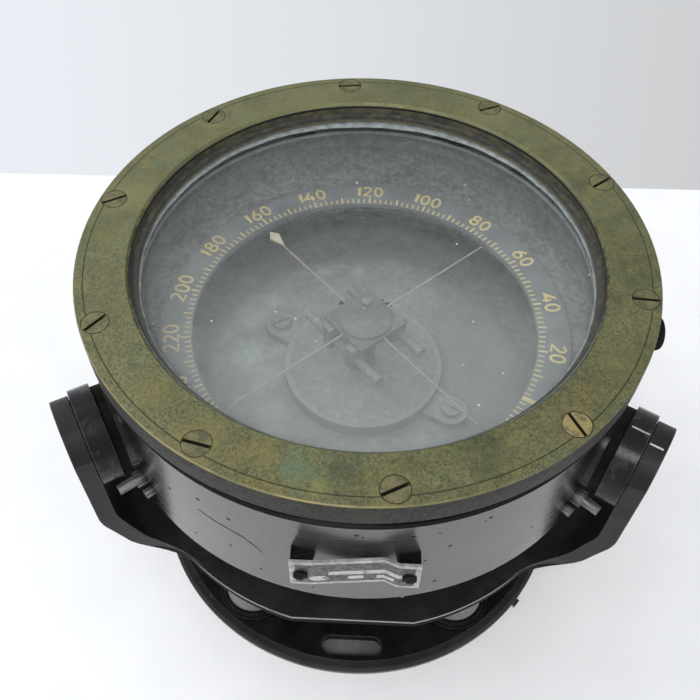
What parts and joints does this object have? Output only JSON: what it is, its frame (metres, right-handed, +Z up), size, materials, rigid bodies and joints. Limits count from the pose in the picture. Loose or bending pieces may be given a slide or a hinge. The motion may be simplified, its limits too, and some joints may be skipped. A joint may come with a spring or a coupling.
{
  "type": "aircraft compass",
  "caption": "Liquid-damped compass bowl with brass bezel, glass, fixed degree ring and filament needle, held by rubber-bushed arms over a slotted base.",
  "frame": {"origin": "centre of the base flange's underside", "axes": "+Z up along the bowl's axis, -Y towards the nameplate, +X to the right seen from the nameplate"},
  "size_m": [0.1663, 0.1665, 0.1235],
  "materials": {
    "black_paint": "worn semi-gloss black enamel",
    "grey_rubber": "dusty light grey rubber",
    "black_rubber": "matt black rubber",
    "old_brass": "tarnished olive brass with a green-brown patina",
    "clean_brass": "lightly tarnished turned brass",
    "steel": "dull turned steel",
    "cover_glass": "clear glass with old dust",
    "dial_paint": "matt blue-grey paint with cream figures",
    "bare_aluminium": "scuffed bare sheet",
    "grey_paint": "matt grey paint",
    "orange_lume": "aged orange luminous paint",
    "white_paint": "matt white paint"
  },
  "bodies": {
    "stand": {"base_flange": "black_paint", "post_feet": "black_paint", "rubber_posts": "grey_rubber", "post_heads": "black_paint", "base_screws": "steel", "spider_screws": "steel", "spider": "black_paint", "eye_stud_right": "steel", "eye_stud_rear": "steel", "eye_stud_left": "steel"},
    "bowl": {"bowl_shell": "black_paint", "bottom_gasket": "black_rubber", "bottom_cover": "black_paint", "bottom_screws": "steel", "corrector_box": "black_paint", "corrector_screws": "steel", "corrector_magnets": "steel", "expansion_diaphragm": "clean_brass", "bezel_ring": "old_brass", "bezel_screws": "clean_brass", "upper_gasket": "black_rubber", "cover_glass": "cover_glass", "lower_gasket": "black_rubber", "dial_ring": "dial_paint", "dial_rivets": "clean_brass", "mount_necks": "black_paint", "mount_bolts": "steel", "mount_cup_right": "black_paint", "mount_cup_rear": "black_paint", "mount_cup_left": "black_paint", "rubber_bush_right": "black_rubber", "rubber_bush_rear": "black_rubber", "rubber_bush_left": "black_rubber", "anchor_pins": "steel", "anchor_screws": "steel", "nameplate_lugs": "black_paint", "nameplate": "bare_aluminium", "nameplate_screws": "black_paint", "filler_plug": "black_paint", "filler_washer": "black_rubber", "pivot_base": "grey_paint", "pivot_base_screws": "clean_brass", "pivot_post": "clean_brass", "pivot_pin": "steel"},
    "needle": {"magnet_plate": "grey_paint", "magnet_clips": "clean_brass", "bar_magnets": "steel", "cap_disc": "grey_paint", "balance_weight": "clean_brass", "jewel_cup": "clean_brass", "north_filament": "orange_lume", "north_tip": "orange_lume", "tail_filament": "orange_lume", "cross_filaments": "white_paint"}
  },
  "joints": [
    {"name": "bowl_float", "type": "slide", "parent": "stand", "child": "bowl", "axis": [0, 0, 1], "range_m": [-0.0012, 0.0012], "stiffness_N_per_m": 20000, "springref_m": 0.00143, "deforming": ["rubber_bush_right", "rubber_bush_rear", "rubber_bush_left"]},
    {"name": "needle_spin", "type": "hinge", "parent": "bowl", "child": "needle", "pos_m": [0, 0, 0.0932], "axis": [0, 0, 1], "continuous": true}
  ]
}
